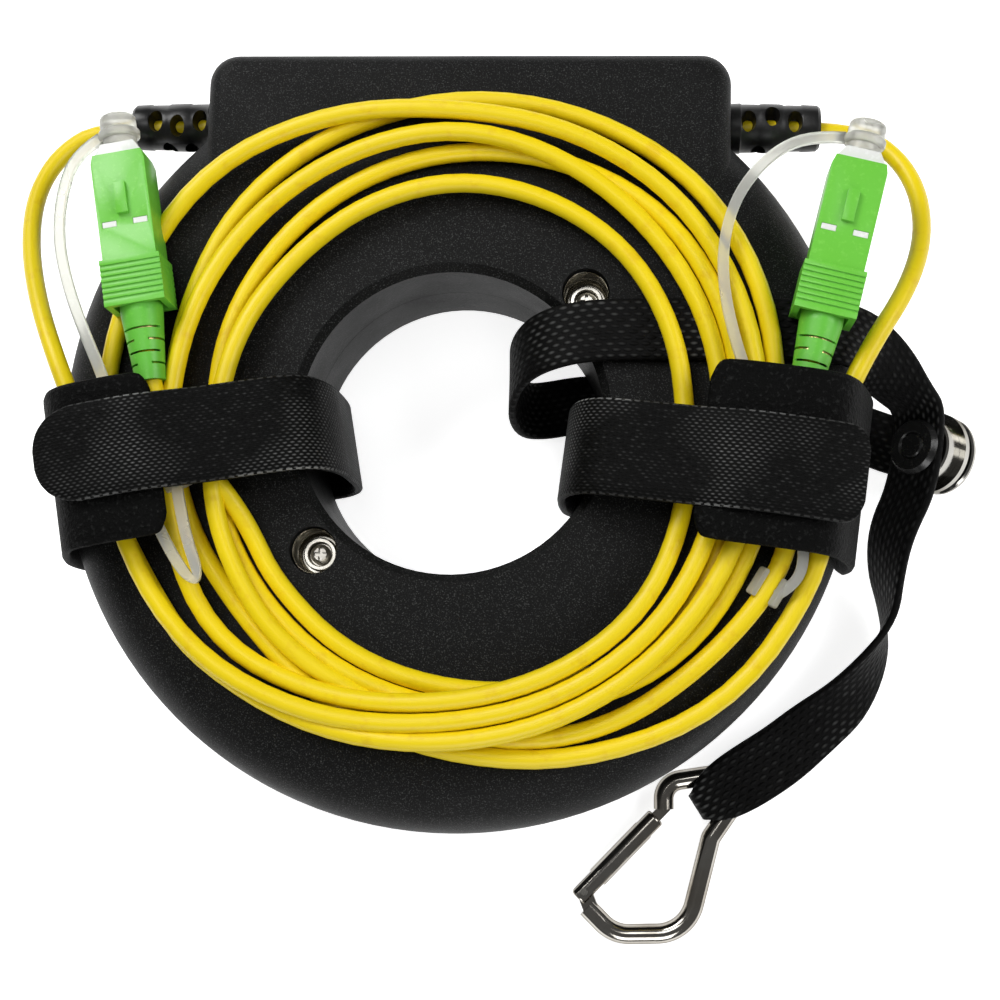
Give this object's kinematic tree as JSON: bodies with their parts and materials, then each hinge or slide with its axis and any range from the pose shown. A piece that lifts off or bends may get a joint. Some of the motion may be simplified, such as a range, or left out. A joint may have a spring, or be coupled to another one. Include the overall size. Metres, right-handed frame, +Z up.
{
  "type": "launch fibre ring",
  "caption": "Hollow black ring case of wound test fibre with yellow coiled leads, green push-pull optical connectors, textile straps and a webbing lanyard with a carabiner",
  "frame": {"origin": "on the floor under the middle of the case's outline, 1.8 mm below the ring's axis as seen from the front, with the ring lying flat on its straps", "axes": "X to the right and Y towards the square block as seen from the front face, Z up out of the front face along the ring's axis"},
  "size_m": [0.1599, 0.1448, 0.0416],
  "materials": {
    "case_black": "fine spark-textured black plastic",
    "screw_steel": "plated steel",
    "cup_metal": "turned and plated",
    "wound_fibre": "wound coated fibre",
    "splice_clear": "clear shrunk sleeve",
    "boot_black": "soft black moulding",
    "strap_fabric": "black hook-and-loop textile",
    "lead_yellow": "yellow jacket",
    "grip_green": "green moulding",
    "frame_white": "white moulding",
    "ferrule_white": "polished ceramic",
    "spring_steel": "spring wire",
    "stop_metal": "turned and plated",
    "crimp_brass": "crimped tube",
    "plug_boot_green": "soft green moulding",
    "cap_silicone": "milky silicone",
    "webbing_fabric": "black woven webbing",
    "stud_black": "black enamel",
    "stud_chrome": "bright plate",
    "rod_chrome": "nickel plate"
  },
  "bodies": {
    "case": {"front_shell": "case_black", "back_shell": "case_black", "housing_screws": "screw_steel", "screw_cups": "cup_metal", "fibre_winding": "wound_fibre", "splice_sleeves": "splice_clear", "left_strain_boot": "boot_black", "right_strain_boot": "boot_black", "left_strap": "strap_fabric", "right_strap": "strap_fabric", "lead_coil": "lead_yellow", "left_lead_loop": "lead_yellow", "right_lead_loop": "lead_yellow", "left_lead_tail": "lead_yellow", "right_lead_tail": "lead_yellow", "lanyard_webbing": "webbing_fabric", "press_stud_cap": "stud_black", "press_stud_socket": "stud_chrome", "press_stud_post": "stud_chrome", "press_stud_back": "stud_chrome", "left_plug_frame": "frame_white", "left_ferrule_spring": "spring_steel", "left_stop_body": "stop_metal", "left_crimp_sleeve": "crimp_brass", "left_connector_boot": "plug_boot_green", "left_cap_tether": "cap_silicone", "right_plug_frame": "frame_white", "right_ferrule_spring": "spring_steel", "right_stop_body": "stop_metal", "right_crimp_sleeve": "crimp_brass", "right_connector_boot": "plug_boot_green", "right_cap_tether": "cap_silicone"},
    "carabiner": {"carabiner_body": "rod_chrome", "gate_pin": "screw_steel"},
    "gate": {"carabiner_gate": "rod_chrome", "gate_spring": "spring_steel"},
    "left_grip_body": {"left_grip": "grip_green"},
    "left_ferrule_body": {"left_ferrule": "ferrule_white"},
    "left_cap_body": {"left_dust_cap": "cap_silicone"},
    "right_grip_body": {"right_grip": "grip_green"},
    "right_ferrule_body": {"right_ferrule": "ferrule_white"},
    "right_cap_body": {"right_dust_cap": "cap_silicone"}
  },
  "joints": [
    {"name": "left_grip_slide", "type": "slide", "parent": "case", "child": "left_grip_body", "axis": [0.1788, -0.9839, 0], "range_m": [0, 0.002]},
    {"name": "left_ferrule_plunge", "type": "slide", "parent": "case", "child": "left_ferrule_body", "axis": [0.1788, -0.9839, 0], "range_m": [0, 0.001], "stiffness_N_per_m": 300, "springref_m": -0.002, "deforming": ["left_ferrule_spring"]},
    {"name": "left_cap_pull", "type": "slide", "parent": "case", "child": "left_cap_body", "axis": [-0.1788, 0.9839, 0], "range_m": [0, 0.008], "deforming": ["left_cap_tether"]},
    {"name": "right_grip_slide", "type": "slide", "parent": "case", "child": "right_grip_body", "axis": [-0.2266, -0.974, 0], "range_m": [0, 0.002]},
    {"name": "right_ferrule_plunge", "type": "slide", "parent": "case", "child": "right_ferrule_body", "axis": [-0.2266, -0.974, 0], "range_m": [0, 0.001], "stiffness_N_per_m": 300, "springref_m": -0.002, "deforming": ["right_ferrule_spring"]},
    {"name": "right_cap_pull", "type": "slide", "parent": "case", "child": "right_cap_body", "axis": [0.2266, 0.974, 0], "range_m": [0, 0.008], "deforming": ["right_cap_tether"]},
    {"name": "carabiner_swing", "type": "hinge", "parent": "case", "child": "carabiner", "pos_m": [0.04685, -0.0547, 0.0029], "axis": [-0.5471, 0.8371, 0], "range_deg": [0, 25], "deforming": ["lanyard_webbing"]},
    {"name": "gate_swing", "type": "hinge", "parent": "carabiner", "child": "gate", "pos_m": [0.0222, -0.0732, 0.0021], "axis": [0.0219, 0.0143, -0.9997], "range_deg": [0, 22], "stiffness_Nm_per_rad": 0.02, "springref_deg": -11.46}
  ]
}
